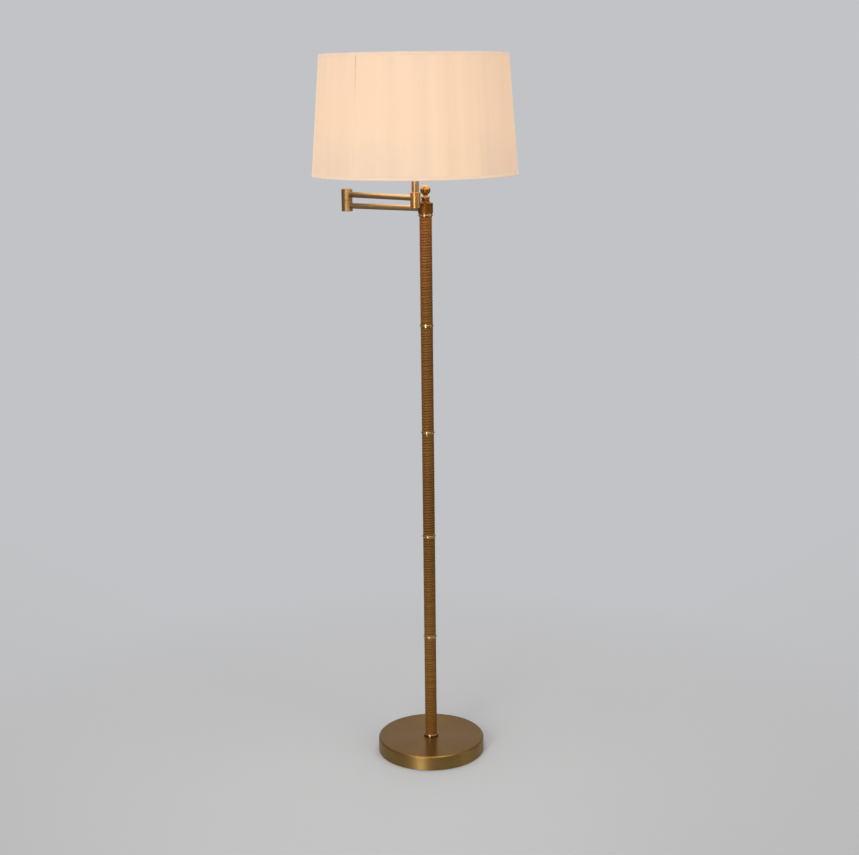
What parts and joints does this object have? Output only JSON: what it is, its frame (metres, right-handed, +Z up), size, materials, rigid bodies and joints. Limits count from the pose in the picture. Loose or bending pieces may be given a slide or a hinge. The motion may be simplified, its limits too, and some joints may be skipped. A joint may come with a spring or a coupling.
{
  "type": "adjustable arm floor lamp",
  "caption": "Floor lamp with a heavy round metal base, a cane-bound column with turned rings, a folding swing arm and a tapered fabric drum shade.",
  "frame": {"origin": "middle of the base on the floor, on the column's axis", "axes": "+Z up along the column, -Y the front as pictured, +X to the picture's right"},
  "size_m": [0.45, 0.4499, 1.6129],
  "materials": {
    "felt": "matt felt",
    "cast_iron": "rough casting",
    "antique_brass": "brushed and darkened antique brass",
    "plain_brass": "bright brass",
    "steel": "plain turned steel",
    "bearing_plastic": "natural nylon",
    "dark_plastic": "moulded dark brown plastic",
    "cane": "satin varnished split cane",
    "porcelain": "glazed porcelain",
    "frame_white": "white coated wire",
    "shade_fabric": "ivory slub silk, lit from inside",
    "shade_lining": "white laminate",
    "shade_tape": "ivory tape",
    "cap_metal": "rolled thread",
    "opal_glass": "opal"
  },
  "bodies": {
    "stand": {"base_felt": "felt", "base_weight": "cast_iron", "base_cover": "antique_brass", "base_washer": "steel", "base_nut": "steel", "cord_bush": "dark_plastic", "column_tube": "steel", "base_collar": "antique_brass", "column_binding_1": "cane", "column_binding_2": "cane", "column_binding_3": "cane", "column_binding_4": "cane", "column_binding_5": "cane", "column_ring_1": "antique_brass", "column_ring_2": "antique_brass", "column_ring_3": "antique_brass", "column_ring_4": "antique_brass", "top_collar": "antique_brass", "head_spindle": "steel", "head_stop_pin": "steel", "head_thrust_washer": "bearing_plastic", "finial_washer": "steel", "finial": "antique_brass"},
    "lower_arm": {"head_drum": "antique_brass", "lower_arm_tube": "antique_brass", "elbow_lower_knuckle": "antique_brass", "elbow_lower_cap": "antique_brass", "elbow_pin": "steel", "elbow_stop_pin": "steel", "elbow_washer": "bearing_plastic", "elbow_spring_washer": "steel", "elbow_nut": "steel"},
    "upper_arm": {"elbow_upper_knuckle": "antique_brass", "elbow_upper_cap": "antique_brass", "upper_arm_tube": "antique_brass", "lamp_hub": "antique_brass", "hub_plug": "antique_brass", "riser_tube": "antique_brass", "lampholder_cap": "antique_brass", "lampholder_shell": "antique_brass", "lampholder_core": "porcelain", "lampholder_screw_shell": "plain_brass", "lampholder_contact": "plain_brass", "shade_ring_lower": "antique_brass", "shade_ring_upper": "antique_brass", "fitter_ring": "frame_white", "shade_spokes": "frame_white", "shade_bottom_wire": "frame_white", "shade_top_wire": "frame_white", "shade_cover": "shade_fabric", "shade_lining": "shade_lining", "shade_bottom_trim": "shade_tape", "shade_top_trim": "shade_tape", "bulb_cap": "cap_metal", "bulb_glass": "opal_glass"},
    "switch": {"switch_bar": "dark_plastic"}
  },
  "joints": [
    {"name": "head_swivel", "type": "hinge", "parent": "stand", "child": "lower_arm", "pos_m": [0, 0, 1.2813], "axis": [0, 0, 1], "range_deg": [-165, 165]},
    {"name": "elbow_swivel", "type": "hinge", "parent": "lower_arm", "child": "upper_arm", "pos_m": [-0.17834, 0.10801, 1.29395], "axis": [0, 0, -1], "range_deg": [0, 330]},
    {"name": "switch_push", "type": "slide", "parent": "upper_arm", "child": "switch", "axis": [1, 0, 0], "range_m": [0, 0.006]}
  ]
}
